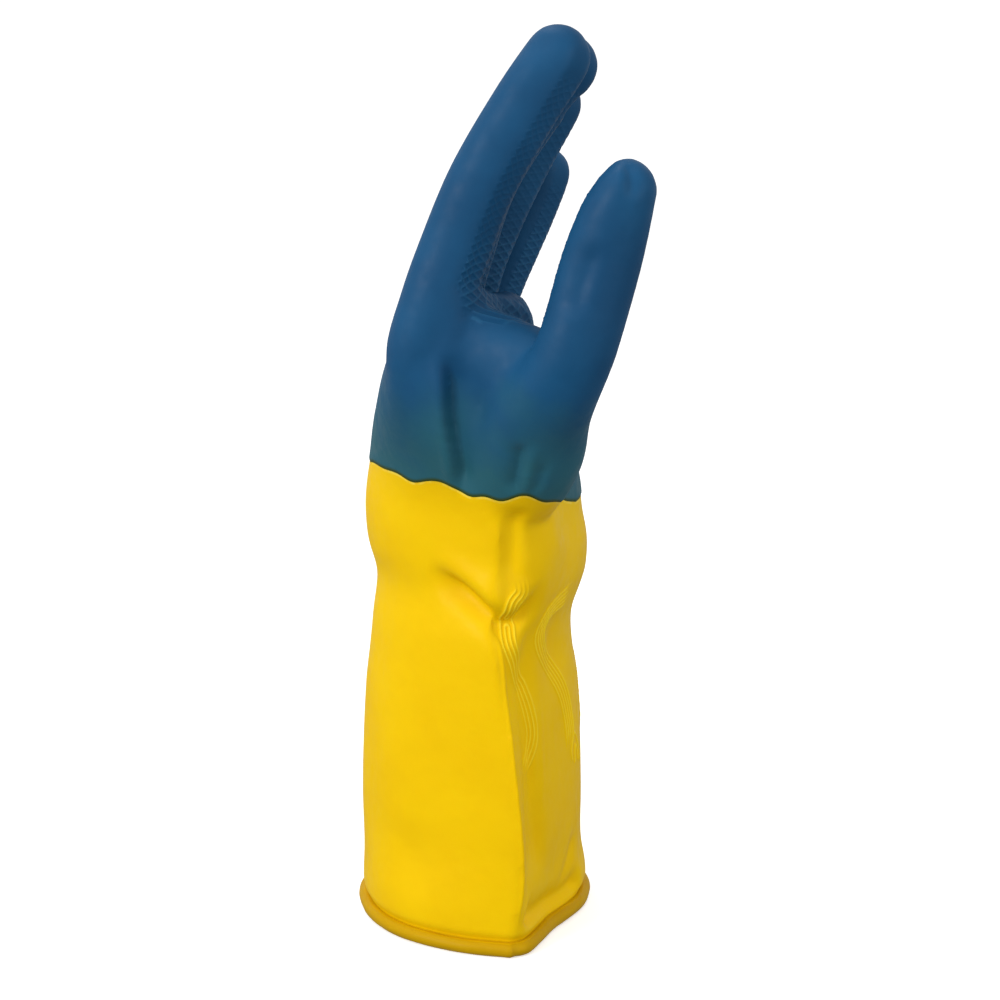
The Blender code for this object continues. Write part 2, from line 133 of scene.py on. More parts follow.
# Digits: half thickness in the bending plane and half width along the hinge line, at each
# joint from the base up and in the middle of the rounded tip
DIGITS = {
    "index": [(12, 10.6), (11.6, 10.5), (11.3, 10.4), (11, 10.1)],
    "middle": [(12, 10.6), (11.6, 10.5), (11.3, 10.4), (11, 10.1)],
    "ring": [(11.6, 10.4), (11.2, 10.3), (10.9, 10.2), (10.6, 9.9)],
    "little": [(10.2, 9.2), (10, 9.1), (9.8, 9), (9.5, 8.9)],
    "thumb": [(12, 13.6), (11.4, 12.9), (10.4, 10.6)],
}
DIGIT_LEVELS = {name: ("base", "middle", "tip") for name in DIGITS}
DIGIT_LEVELS["thumb"] = ("base", "tip")
DIGIT_JOINTS = {
    name: [f"{name}_{level}_bend" for level in levels] for name, levels in DIGIT_LEVELS.items()
}
# Each digit's root inside the palm, from its lower end up: centre, half depth and half width
ROOTS = {
    "index": [
        ((-13, -15, 178), 6, 8), ((-17.5, -26.5, 202), 11.5, 11.5),
        ((-17.5, -33.8, 224), 12.4, 12.3), ((-13, -36, 242), 12, 11.6),
    ],
    "middle": [
        ((-14, -9, 178), 8, 10), ((-16.5, -11, 202), 13, 14.5),
        ((-14, -12, 224), 12.4, 12.5), ((-10, -12, 243), 12, 11.6),
    ],
    "ring": [
        ((-11, 8, 174), 8, 10), ((-12.5, 10, 196), 13.5, 14),
        ((-9.8, 11.5, 217), 13, 12), ((-5.8, 12, 236), 12.2, 11.3),
    ],
    "little": [
        ((-8, 24, 170), 8, 10), ((-6.5, 30, 190), 12, 13),
        ((-3, 32.5, 209), 11.8, 11.2), ((2.4, 33.6, 226.5), 10.9, 10),
    ],
    "thumb": [
        ((9, -12, 168), 12, 10), ((17.5, -28, 184), 20.5, 18),
        ((21.5, -41.5, 203), 18.5, 18.5),
    ],
}
# The web between the thumb and the forefinger: centre, half height and half thickness
WEB = [
    (-16, -31, 226, 10, 8), (-4, -35.5, 226, 17, 10.5),
    (6, -39, 223.5, 17.5, 11), (15, -42.5, 222, 16.5, 11.5),
    (27, -48.5, 220, 14, 12),
]
WEB_HEADING = Vector((0.93, -0.37, 0.0))
WEB_HINGE = Vector((0.37, 0.93, 0.0))
BEND_BELOW = 0.5  # a bend reaches this share of the way to the joint below
BEND_ABOVE = 0.44
BASE_BEND_BELOW = 6.0
CUT_SHARE = 0.47
DIGIT_REACH = 12.0  # no finger reaches further than this to either side of its hinge's middle
FINGERS_BOTTOM = 232.0
THUMB_SIDE_Y = -47.5  # the thumb is beyond this and THUMB_BACK_X
THUMB_LINING_Y = -46.5
THUMB_BACK_X = 12.0
THUMB_BEND_START = Vector((22.5, -50.5, 240.0))  # just above the web beside the forefinger
THUMB_BEND_TOWARDS = Vector((0.75, -0.35, 0.55)).normalized()
THUMB_BEND_LENGTH = 26.0

# The overdip
OVERDIP_STEP = 0.45
EDGE_ROUND = 1.2
EDGE_HEIGHT = 171.2
EDGE_LOWEST = 163.4
EDGE_SCALLOPS = [  # on the thumb side: x, half width and rise
    (-11, 4.5, 2.9), (-0.5, 4, -1.5), (9.5, 4.5, -1.6), (19.5, 5.5, 3.1), (30, 5, 3),
]
EDGE_SLOPES = (0.178, 0.119)  # it drops this much per millimetre of x and of y
EDGE_LEVEL_Y = 8.0  # from here on it stays level along y
EDGE_THUMB_SIDE = (-20.0, 10.0)  # the thumb side fades out here along y
# Waves along the edge: rise, millimetres to a radian, and phase (the ripple's in millimetres)
EDGE_WAVE_X = (0.9, 7.5, 0.3)
EDGE_WAVE_Y = (0.5, 5.0, 2.0)
EDGE_RIPPLE = (0.8, 2.02, 22.5)
EDGE_RIPPLE_PLACE = (-17.0, 14.0)  # x and half width

# Relief. A fold: its route, its half widths to the left and right as seen from outside, its
# depth, the height of a bulge beside it, how far to the left of the route the bulge is, and the
# share of its length over which each end fades out
FOLDS = [
    ([(-17.5, -23.5, 145), (-10, -28.6, 141.5), (-2.8, -33.6, 137), (4.4, -38.8, 131.5),
      (11, -39, 127.5), (16.5, -36, 129), (20, -32, 135), (22, -29, 144)],
     (3, 5.5), 5, 1.8, 7.5, 0.28),
    ([(15, -36, 121), (19, -34, 100), (21.5, -32.5, 81), (23, -31, 62), (24, -28, 42),
      (25, -25, 24)], (4, 7.5), 2.4, 0, 0, 0.2),
    ([(18, -44, 174), (16.5, -42, 163), (15, -40, 152), (14.5, -37, 141)],
     (2.2, 9), 1.5, 0.5, 5, 0.3),
    ([(18.5, -38, 15), (21, -34, 12.5), (25, -25, 11), (31, -12, 10), (36, -2, 10), (41, 9, 11)],
     (6, 2.2), 4.2, 0, 0, 0.12),
    ([(41, 4, 34), (37, 0, 24), (33, -8, 14)], (3, 3), 1.3, 0, 0, 0.3),
    ([(41.5, -76, 268), (38.5, -76, 258), (36, -75, 250), (38, -75, 242)],
     (2.6, 6), 1.7, 0, 0, 0.3),
    ([(-9, -47, 228), (-7.6, -46.5, 216), (-7.4, -46, 207), (-6.6, -45, 198), (-5.4, -43, 189),
      (-5.3, -41, 180), (-5.6, -40, 172)], (6, 1.6), 4.2, 1.2, -3.6, 0.22),
    ([(17.6, -60, 198), (17, -57, 190), (15.8, -53, 183), (14.7, -50, 174)],
     (1.3, 4), 2.4, 1.2, 3.4, 0.28),
    ([(24, -52, 192), (23, -50, 184), (20, -49, 176)], (1.6, 3), 0.8, 0.4, 3, 0.3),
    ([(14, -30, 246), (13, -22, 238), (15, -12, 232), (19, -4, 226)],
     (1.4, 2.6), 1, 0.9, 3.2, 0.3),
    ([(20, -42, 236), (16, -34, 232), (13, -28, 224)], (1.6, 2.6), 0.9, 0.6, 3.2, 0.3),
    ([(52, -75, 281), (52, -74, 289), (50.5, -70, 294)], (1.8, 2.6), 1.4, 0.6, 2.8, 0.3),
    ([(36.5, -12, 318), (33, -12, 311), (29, -12, 306)], (3, 4), 1, 0, 0, 0.3),
]
BULGE_SHARE = 0.6  # a bulge's half width, as a share of how far it is from the route
DENTS = [  # centre, half widths and depth
    ((31, -26, 157), (10, 12, 14), -3.6), ((33, -8, 107), (6, 8, 8), 1),
    ((-30, -16, 60), (14, 14, 34), -1), ((-22, -24, 30), (10, 9, 14), 0.9),
    ((24, -48, 332), (6, 8, 5), 1.9), ((14, -46, 322), (5, 5, 6), -0.5),
    ((42, -66, 292), (7, 12, 9), 2.2), ((13, -9, 236), (8, 14, 10), -5.2),
    ((17, 2, 228), (8, 14, 8), -3.4), ((36, -38, 192), (10, 16, 14), -1.8),
    ((20, -31, 112), (5, 5, 16), 2.4), ((30, -13, 113), (6, 6, 12), 1.4),
]
RIPPLE_PLACE = (22, -31, 72)
RIPPLE_RADII = (8, 9, 18)
RIPPLE_LENGTH = 4.2
RIPPLE_HEIGHT = 0.3
CUFF_GROOVE_HEIGHT = 5.6
CUFF_GROOVE_HALF_WIDTH = 1.5
CUFF_GROOVE_DEPTH = 2.2
WEB_RELAX = ((14, -42, 236), (11, 10, 11))
RELAX_HEIGHTS = ((160, 176), (212, 230))  # the relaxing fades in and out over these
RELAX_ROUNDS = 60  # these melt the thumb's and the fingers' roots into the wrist
# Raised lines: route, number of lines, spacing, height and half width
WAVE_HEIGHT = 0.5
WAVE_FADE = 0.1  # each end fades out over this share of the length
WAVES = [
    ([(16.9, -37.3, 145), (17.7, -38, 139.6), (14.6, -39.5, 134.8), (12.8, -36, 126.3),
      (13.4, -37.1, 119.7), (15.6, -35.2, 111.6), (18.2, -31.5, 101), (20.4, -29.7, 92),
      (21.6, -28.7, 83), (20, -30, 75), (18.6, -34, 67)], 4, 1.7, 0.5, 0.38),
    ([(36.5, -2, 131), (29.3, -17, 128), (26.3, -21.3, 124.6), (24.5, -22.2, 118.8),
      (25.7, -18.7, 111.7), (29.2, -10.9, 102.4), (32.8, -5.9, 93.8), (34.8, -2.8, 86),
      (36.1, -1.1, 77.6), (36.9, 0, 67)], 5, 1.9, 0.6, 0.38),
    ([(37, 28, 131), (34, 41, 128), (32, 45, 124.6), (31.5, 45.5, 118.8), (33, 42, 111.7),
      (36, 35, 102.4), (38.5, 30, 93.8), (39.5, 27, 86), (40, 25.5, 77.6), (40, 24.5, 67)],
     5, 1.9, 0.5, 0.38),
    ([(37.8, 1.7, 61), (36.9, 0, 67), (38.2, 3.9, 73), (40, 8.8, 65), (40.5, 10.2, 58)],
     1, 1.0, 0.5, 0.45),
    ([(38.6, 3.6, 60), (38.4, 3.4, 65), (38.9, 4.8, 68), (39.5, 6.8, 64), (39.8, 7.6, 60)],
     1, 1.0, 0.5, 0.45),
]
# One broad raised line keeps the fold up the thumb side sharp
CREASE_RIDGE = (
    [(9, -39, 127), (11.2, -39.6, 112), (12.4, -40.4, 100), (14.4, -41.5, 81), (16.4, -42, 62),
     (18, -41.6, 43), (18.4, -40.6, 29), (16.8, -40, 11)],
    1, 1.0, 0.8, 0.85,
)
GRIP_BOTTOM = 186.0
GRIP_SLOPE = radians(35)
GRIP_SPACING = 2.6
GRIP_HALF_WIDTH = 0.36
GRIP_HEIGHT = 0.3
GRIP_FACING = (0.3, 0.55)  # it fades in as the skin turns towards the palm
GRIP_SIDE = ((236, 244, 262, 275), (-1.5, 0.0, 2.5, 5.0))  # heights, and the grip's edge there
GRIP_SIDE_FADES = ((235, 238), (262, 272))
GRIP_SIDE_DEPTH = 8.0  # past this depth the lattice goes on round the side
THUMB_GRIP_RADIUS = 17.0
THUMB_GRIP_FROM = 0.45  # as a share of the thumb's line
THUMB_GRIP_Y = -46.0


def to_frame(point):
    return (Vector(point) + SLEEVE_AXIS) * MM


def catmull_step(points, t):
    """A Catmull-Rom curve through four points, at t of the way from the second to the third."""
    a, b, c, d = (np.array(point, float) for point in points)
    bend = (2 * a - 5 * b + 4 * c - d) * t**2 + (3 * b - a - 3 * c + d) * t**3
    return (2 * b + (c - a) * t + bend) / 2


def catmull(points, share):
    """A smooth curve through the points, open at both ends, at a share of its way."""
    last = len(points) - 1
    place = min(max(share, 0.0), 1.0) * last
    i = min(int(place), last - 1)
    return catmull_step([points[min(max(i + k, 0), last)] for k in (-1, 0, 1, 2)], place - i)


def table_at(rows, z):
    """The values of a table at height z, along a smooth curve through its rows."""
    heights = [row[0] for row in rows]
    place = np.interp(z, heights, range(len(rows)))
    return catmull([row[1:] for row in rows], place / (len(rows) - 1))


def smoothstep(low, high, value):
    t = np.clip((value - low) / (high - low), 0, 1)
    return t * t * (3 - 2 * t)


# -------------------- outlines


def closed_curve(points, count):
    """count places, evenly spaced, round the closed Catmull-Rom curve through the points."""
    wrapped = [points[-1], *points, points[0], points[1]]
    shares = [k / OUTLINE_STEPS for k in range(OUTLINE_STEPS)]
    fine = [catmull_step(wrapped[i : i + 4], t) for i in range(len(points)) for t in shares]
    fine = np.array([*fine, fine[0]])
    far = np.concatenate([[0], np.cumsum(np.linalg.norm(np.diff(fine, axis=0), axis=1))])
    stops = np.arange(count) * far[-1] / count
    return np.stack([np.interp(stops, far, fine[:, k]) for k in range(2)], axis=1)


def sleeve_ring(z):
    back, palm = table_at(SLEEVE_SPAN, z)
    crease_x, crease_y = table_at(CREASE_PLACE, z)
    mix = float(smoothstep(*OUTLINE_CHANGE, z))
    (ahead_x, ahead_y), (behind_x, behind_y) = CREASE_SIDES
    points = [(crease_x, crease_y), (crease_x + ahead_x, crease_y + ahead_y)]
    for cuff, sleeve in zip(CUFF_OUTLINE, SLEEVE_OUTLINE):
        share = cuff[0] + (sleeve[0] - cuff[0]) * mix
        y = cuff[1] + (sleeve[1] - cuff[1]) * mix
        points.append((back + (palm - back) * share, y))
    points.append((crease_x + behind_x, crease_y + behind_y))
    return [(x, y, z) for x, y in closed_curve(points, RING_POINTS)]


def squared(value, squareness):
    """A sine or cosine, changed so that a circle becomes a rounded square."""
    return np.copysign(abs(value) ** (2 / squareness), value)


def palm_ring(z):
    x, y, half_depth, half_width, turn, slant, lean = table_at(PALM_SECTIONS, z)
    across = Vector((cos(radians(turn)), -sin(radians(turn))))
    along = Vector((-across.y, across.x))
    outline = []
    for i in range(RING_POINTS):
        angle = 2 * pi * i / RING_POINTS
        depth = squared(sin(angle), PALM_SQUARENESS)
        width = -squared(cos(angle), PALM_SQUARENESS)
        place = Vector((x, y)) + across * (depth * half_depth) + along * (width * half_width)
        outline.append((place.x, place.y))
    ring = []
    for px, py in closed_curve(outline, RING_POINTS):
        ring.append((px, py, z - (slant * (py - KNUCKLE_PIVOT_Y) + lean * (px - x))))
    return ring


def body_ring(z):
    """The sleeve's outline, which turns into the palm's above the wrist."""
    mix = float(smoothstep(*PALM_CHANGE, z))
    if mix == 0:
        return sleeve_ring(z)
    palm = np.array(palm_ring(z))
    return palm if mix == 1 else palm * mix + np.array(sleeve_ring(z)) * (1 - mix)


# -------------------- digits


def joint_centre(name):
    return Vector(hinges[name]["pos_m"]) / MM - SLEEVE_AXIS


def tip_pole(digit):
    """The far end of a digit, from its CAD solid."""
    last = joint_centre(DIGIT_JOINTS[digit][-1])
    mesh = frame["nodes"][f"{digit}_distal_overdip"].data
    places = [vertex.co / MM - SLEEVE_AXIS for vertex in mesh.vertices]
    return max(places, key=lambda place: (place - last).length)


def digit_line(digit):
    """The digit's stations (centre, depth, width) up to its tip's middle, and its last heading."""
    centres = [joint_centre(name) for name in DIGIT_JOINTS[digit]]
    sizes = DIGITS[digit]
    pole = tip_pole(digit)
    up = (pole - centres[-1]).normalized()
    ball = pole - up * sizes[-1][0]
    stations = [(c, *size) for c, size in zip([*centres, ball], sizes)]
    roots = [(Vector(place), depth, width) for place, depth, width in ROOTS[digit]]
    return roots + stations, up


def hinge_line(digit):
    axis = Vector(hinges[DIGIT_JOINTS[digit][0]]["axis"]).normalized()
    return -axis if digit == "thumb" else axis


def digit_rings(digit):
    stations, up = digit_line(digit)
    hinge = hinge_line(digit)
    rows = [(*centre, depth, width) for centre, depth, width in stations]
    steps = CURVE_STEPS * (len(rows) - 1)
    line = [catmull(rows, k / steps) for k in range(steps + 1)]
    rings = []
    for k, row in enumerate(line):
        before, after = line[max(k - 1, 0)], line[min(k + 1, steps)]
        along = Vector(after[:3] - before[:3]).normalized()
        rings.append(digit_ring(Vector(row[:3]), along, hinge, row[3], row[4]))
    centre, depth, width = stations[-1]
    for degrees in TIP_RING_DEGREES:
        rise, shrink = sin(radians(degrees)), cos(radians(degrees))
        place = centre + up * depth * rise
        rings.append(digit_ring(place, up, hinge, depth * shrink, width * shrink))
    return rings


def digit_ring(centre, along, hinge, depth, width):
    bend = hinge.cross(along).normalized()
    across = along.cross(bend)
    ring = []
    for i in range(DIGIT_POINTS):
        angle = 2 * pi * i / DIGIT_POINTS
        squareness = DIGIT_SQUARENESS[cos(angle) > 0]
        toward_bend, aside = squared(cos(angle), squareness), squared(sin(angle), squareness)
        if toward_bend > 0:
            inwards = min(1, DIGIT_FACET / (toward_bend + abs(aside)))
            toward_bend, aside = toward_bend * inwards, aside * inwards
        ring.append(centre + bend * (depth * toward_bend) + across * (width * aside))
    return ring


# -------------------- the melted skin


def join_rings(bm, rings):
    """Faces from each ring of vertices to the next."""
    faces = []
    for low, high in zip(rings, rings[1:]):
        for i in range(len(low)):
            k = (i + 1) % len(low)
            faces.append(bm.faces.new((low[i], low[k], high[k], high[i])))
    return faces


def loft(bm, rings):
    """A closed body through the rings."""
    rows = [[bm.verts.new(to_frame(point)) for point in ring] for ring in rings]
    faces = join_rings(bm, rows)
    faces.append(bm.faces.new(list(reversed(rows[0]))))
    faces.append(bm.faces.new(rows[-1]))
    bmesh.ops.recalc_face_normals(bm, faces=faces)


def made_mesh(bm, name):
    mesh = bpy.data.meshes.new(name)
    bm.to_mesh(mesh)
    bm.free()
    return mesh


def new_object(name, data):
    obj = bpy.data.objects.new(name, data)
    bpy.context.scene.collection.objects.link(obj)
    return obj


def baked(obj):
    """The object's mesh with its modifiers applied. The object is removed."""
    bpy.context.view_layer.update()
    evaluated = obj.evaluated_get(bpy.context.evaluated_depsgraph_get())
    mesh = bpy.data.meshes.new_from_object(evaluated)
    bpy.data.objects.remove(obj, do_unlink=True)
    return mesh


def melted(voxel, smooth_rounds):
    bm = bmesh.new()
    loft(bm, [body_ring(z) for z in range(SLEEVE_SPAN[0][0], PALM_TOP + 1, SLEEVE_RING_STEP)])
    for digit in DIGITS:
        loft(bm, digit_rings(digit))
    web = [catmull(WEB, k / CURVE_STEPS) for k in range(CURVE_STEPS + 1)]
    loft(bm, [digit_ring(Vector(row[:3]), WEB_HEADING, WEB_HINGE, *row[3:]) for row in web])
    obj = new_object("skin", made_mesh(bm, "skin"))
    remesh = obj.modifiers.new("melt", "REMESH")
    remesh.mode = "VOXEL"
    remesh.voxel_size = voxel * MM
    smooth = obj.modifiers.new("smooth", "SMOOTH")
    smooth.factor = 0.5
    smooth.iterations = smooth_rounds
    return baked(obj)


def places_of(mesh):
    co = np.zeros(len(mesh.vertices) * 3)
    mesh.vertices.foreach_get("co", co)
    return co.reshape(-1, 3) / MM - np.array(SLEEVE_AXIS)


def normals_of(mesh):
    mesh.update()
    normals = np.zeros(len(mesh.vertices) * 3)
    mesh.vertex_normals.foreach_get("vector", normals)
    return normals.reshape(-1, 3)


def set_places(mesh, places):
    co = (places + np.array(SLEEVE_AXIS)) * MM
    mesh.vertices.foreach_set("co", co.ravel())
    mesh.update()


# -------------------- where things are on the skin


def edge_height(x, y):
    """The height of the overdip's wavy edge."""
    thumb_side = 1 - smoothstep(*EDGE_THUMB_SIDE, y)
    rise, length, phase = EDGE_WAVE_X
    wave = rise * np.sin(x / length + phase)
    rise, length, phase = EDGE_WAVE_Y
    wave = wave + rise * np.sin(y / length + phase) * (1 - thumb_side)
    rise, length, start = EDGE_RIPPLE
    middle, half_width = EDGE_RIPPLE_PLACE
    fade = np.exp(-(((x - middle) / half_width) ** 2))
    wave = wave - rise * thumb_side * np.cos((x + start) / length) * fade
    for middle, half_width, lift in EDGE_SCALLOPS:
        wave = wave + lift * thumb_side * np.exp(-(((x - middle) / half_width) ** 2))
    slope_x, slope_y = EDGE_SLOPES
    height = EDGE_HEIGHT - slope_x * x - slope_y * np.minimum(y, EDGE_LEVEL_Y) + wave
    return np.maximum(height, EDGE_LOWEST)


def digit_frames(digit):
    """At each joint of a digit: its centre and the digit's direction, halfway round the bend."""
    centres = [station[0] for station in digit_line(digit)[0]]
    names = DIGIT_JOINTS[digit]
    first = len(centres) - 1 - len(names)
    frames = []
    for k in range(len(names)):
        here = centres[first + k]
        below = (here - centres[first + k - 1]).normalized()
        above = (centres[first + k + 1] - here).normalized()
        frames.append((here, (below + above).normalized()))
    return frames


def digit_bends(digit):
    """For each joint of a digit, where its bend starts and ends."""
    frames = digit_frames(digit)
    ball = digit_line(digit)[0][-1][0]
    bends = []
    for k, (centre, along) in enumerate(frames):
        above = frames[k + 1][0] if k + 1 < len(frames) else ball
        reach_up = (above - centre).length * BEND_ABOVE
        below = (centre - frames[k - 1][0]).length * BEND_BELOW
        reach_down = below if k else BASE_BEND_BELOW
        start = centre - along * reach_down
        end = centre + along * reach_up
        if digit == "thumb" and k == 0:
            start = THUMB_BEND_START
            end = start + THUMB_BEND_TOWARDS * THUMB_BEND_LENGTH
        bends.append((start, end))
    return bends


def digit_cuts(digit):
    """The planes that divide a digit's pieces: the base bend's start, then one between joints."""
    frames = digit_frames(digit)
    start, end = digit_bends(digit)[0]
    cuts = [(start, (end - start).normalized())]
    for (low, _), (high, _) in zip(frames, frames[1:]):
        cuts.append((low + (high - low) * CUT_SHARE, (high - low).normalized()))
    return cuts


def cut(bm, point, normal, near=None, **options):
    faces = [f for f in bm.faces if near is None or near(f)]
    edges = {e for f in faces for e in f.edges}
    verts = {v for f in faces for v in f.verts}
    geom = [*verts, *edges, *faces]
    place = to_frame(point)
    bmesh.ops.bisect_plane(bm, geom=geom, plane_co=place, plane_no=normal, dist=1e-7, **options)


def shear(bm, way):
    """Moves each vertex up or down by the overdip edge's height there."""
    for vertex in bm.verts:
        place = vertex.co / MM - SLEEVE_AXIS
        vertex.co.z += way * edge_height(place.x, place.y) * MM


def flood(seed, allowed):
    """The faces joined to seed through faces that are allowed."""
    found = {seed}
    front = [seed]
    while front:
        face = front.pop()
        for edge in face.edges:
            for other in edge.link_faces:
                if other not in found and allowed(other):
                    found.add(other)
                    front.append(other)
    return found


PIECES = ["gauntlet_skin", "wrist_skin", "hand_skin", "hand_overdip_skin"]
for name, levels in DIGIT_LEVELS.items():
    PIECES += [f"{name}_{level}_skin" for level in levels]


def centre_place(face):
    return face.calc_center_median() / MM - SLEEVE_AXIS


def divide(bm):
    """Cuts the skin between its pieces and marks each face with its piece's number."""
    layer = bm.faces.layers.int.new("piece")
    cut(bm, (0, 0, FLOOR_CUT), (0, 0, 1), clear_inner=True)
    for z in (WRIST_BEND_FROM, WRIST_BEND_TO):
        cut(bm, (0, 0, z), (0, 0, 1))
    shear(bm, -1)
    cut(bm, (0, 0, 0), (0, 0, 1))
    shear(bm, 1)
    for face in bm.faces:
        place = centre_place(face)
        if place.z < WRIST_BEND_FROM:
            face[layer] = 0
        elif place.z < WRIST_BEND_TO:
            face[layer] = 1
        else:
            face[layer] = 2 if place.z < edge_height(place.x, place.y) else 3
    for digit in DIGITS:
        axis_y = joint_centre(DIGIT_JOINTS[digit][0]).y

        def near(face):
            place = centre_place(face)
            if digit == "thumb":
                return place.y < THUMB_SIDE_Y and place.x > THUMB_BACK_X
            return abs(place.y - axis_y) < DIGIT_REACH and place.z > FINGERS_BOTTOM

        for point, normal in digit_cuts(digit):
            cut(bm, point, normal, near)
        pole = tip_pole(digit)
        seed = min(bm.faces, key=lambda f: (centre_place(f) - pole).length)
        for level, (point, normal) in zip(DIGIT_LEVELS[digit], digit_cuts(digit)):
            above = flood(seed, lambda f: near(f) and (centre_place(f) - point).dot(normal) > 0)
            number = PIECES.index(f"{digit}_{level}_skin")
            for face in above:
                face[layer] = number
    return layer


# -------------------- relief


def route_distance(places, route):
    """For each place: how far it is from the route, the way there, how far along, and heading."""
    route = np.array(route, float)
    lengths = np.linalg.norm(np.diff(route, axis=0), axis=1)
    far = np.concatenate([[0], np.cumsum(lengths)])
    best = np.full(len(places), 1e9)
    offset = np.zeros((len(places), 3))
    share = np.zeros(len(places))
    heading = np.zeros((len(places), 3))
    for k, (a, b) in enumerate(zip(route, route[1:])):
        step = b - a
        t = np.clip((places - a) @ step / (step @ step), 0, 1)
        away = places - (a + t[:, None] * step)
        distance = np.linalg.norm(away, axis=1)
        closer = distance < best
        best[closer] = distance[closer]
        offset[closer] = away[closer]
        share[closer] = (far[k] + t[closer] * lengths[k]) / far[-1]
        heading[closer] = step / lengths[k]
    return best, offset, share, heading


def on_skin(tree, route):
    """The route as a smooth curve on the skin."""
    steps = 6 * (len(route) - 1)
    smooth = [catmull(route, k / steps) for k in range(steps + 1)]
    return [np.array(tree.find_nearest(Vector(point))[0]) for point in smooth]


def signed_distance(skin, route):
    """How far each place is from the route, positive on its left as seen from outside."""
    tree, places, normals = skin
    distance, offset, share, heading = route_distance(places, on_skin(tree, route))
    left = np.sign(np.einsum("ij,ij->i", np.cross(heading, offset), normals))
    return distance * left, share


def fold(skin, route, widths, depth, bulge, bulge_at, fade):
    """A valley along the route, and a bulge beside it, on its left where bulge_at is positive."""
    signed, share = signed_distance(skin, route)
    ends = smoothstep(0, fade, share) * smoothstep(0, fade, 1 - share)
    width = np.where(signed > 0, *widths)
    push = -depth * np.exp(-((signed / width) ** 2))
    if bulge:
        half_width = abs(bulge_at) * BULGE_SHARE
        push = push + bulge * np.exp(-(((signed - bulge_at) / half_width) ** 2))
    return push * ends


def waves(skin, route, count, spacing, height, half_width):
    """Parallel raised lines along the route."""
    signed, share = signed_distance(skin, route)
    ends = smoothstep(0, WAVE_FADE, share) * smoothstep(0, WAVE_FADE, 1 - share)
    push = np.zeros(len(signed))
    for k in range(count):
        across = signed - (k - (count - 1) / 2) * spacing
        push = np.maximum(push, np.exp(-((across / half_width) ** 2)))
    return push * height * ends


def blurred(mesh, values, rounds, share=0.5):
    """Moves each vertex's values towards its neighbours' mean, round after round."""
    pairs = np.zeros(len(mesh.edges) * 2, int)
    mesh.edges.foreach_get("vertices", pairs)
    a, b = pairs.reshape(-1, 2).T
    size = len(mesh.vertices)
    count = np.bincount(np.concatenate([a, b]), minlength=size)
    for _ in range(rounds):
        sums = [np.bincount(a, v[b], size) + np.bincount(b, v[a], size) for v in values.T]
        values = values + (np.stack(sums, axis=1) / count[:, None] - values) * share
    return values


def dent(places, centre, radii, depth):
    """A soft hollow with a half width on each axis."""
    away = (places - np.array(centre)) / np.array(radii)
    return -depth * np.exp(-np.einsum("ij,ij->i", away, away))


def skin_of(mesh):
    """A tree that finds the skin's nearest point, and the skin's places and normals."""
    places = places_of(mesh)
    polygons = [tuple(polygon.vertices) for polygon in mesh.polygons]
    tree = BVHTree.FromPolygons([Vector(place) for place in places], polygons)
    return tree, places, normals_of(mesh)


def shape_folds(mesh):
    """Melts the wrist smooth, and presses the folds, the dents and the cuff's groove in."""
    places = places_of(mesh)
    low, high = (smoothstep(*ends, places[:, 2]) for ends in RELAX_HEIGHTS)
    zone = np.maximum(low * (1 - high), -dent(places, *WEB_RELAX, 1.0))
    places = blurred(mesh, places, RELAX_ROUNDS, 0.5 * zone[:, None])
    set_places(mesh, places)
    tree, _, normals = skin_of(mesh)
    skin = (tree, places, normals)
    push = np.zeros(len(places))
    for row in FOLDS:
        push += fold(skin, *row)
    for row in DENTS:
        push += dent(places, *row)
    ripple_away = (places - np.array(RIPPLE_PLACE)) / np.array(RIPPLE_RADII)
    ripple = np.sin(places[:, 1] / RIPPLE_LENGTH * 2 * pi) * np.exp(-np.sum(ripple_away**2, axis=1))
    push += RIPPLE_HEIGHT * ripple
    rise = (places[:, 2] - CUFF_GROOVE_HEIGHT) / CUFF_GROOVE_HALF_WIDTH
    push -= CUFF_GROOVE_DEPTH * np.exp(-(rise**2))
    push = blurred(mesh, push[:, None], 2)
    set_places(mesh, places + normals * push)


def grip_share(digit, places, normals):
    """Where a digit carries the grip, from 0 to 1, and the lattice's two coordinates there."""
    line = np.array([station[0] for station in digit_line(digit)[0]])
    away, offset, share, heading = route_distance(places, line)
    hinge = np.array(hinge_line(digit))
    bend = np.cross(hinge, heading)
    facing = np.einsum("ij,ij->i", normals, bend)
    aside = offset @ hinge
    along = np.linalg.norm(line[-1] - line[0]) * share
    mask = smoothstep(*GRIP_FACING, facing)
    if digit == "thumb":
        near = (away < THUMB_GRIP_RADIUS) & (share > THUMB_GRIP_FROM)
        near = near & (places[:, 1] < THUMB_GRIP_Y)
        across = aside
    else:
        near = np.abs(aside) < DIGIT_REACH
        across = places[:, 1]
        mask = mask * (1 - 0.45 * smoothstep(256, 270, places[:, 2]))
    if digit == "index":  # the grip wraps round this finger's root, above the web
        height = places[:, 2]
        side = smoothstep(0, 1.5, places[:, 0] - np.interp(height, *GRIP_SIDE))
        bottom, top = (smoothstep(*ends, height) for ends in GRIP_SIDE_FADES)
        side = side * bottom * (1 - top)
        mask = np.maximum(mask, side * (facing > -0.7))
        depth = np.einsum("ij,ij->i", offset, bend)
        across = across + np.minimum(depth - GRIP_SIDE_DEPTH, 0) * (aside < 0)
    mask = mask * smoothstep(0, 8, places[:, 2] - GRIP_BOTTOM) * near
    return mask * smoothstep(0, 0.04, 1 - share), along, across


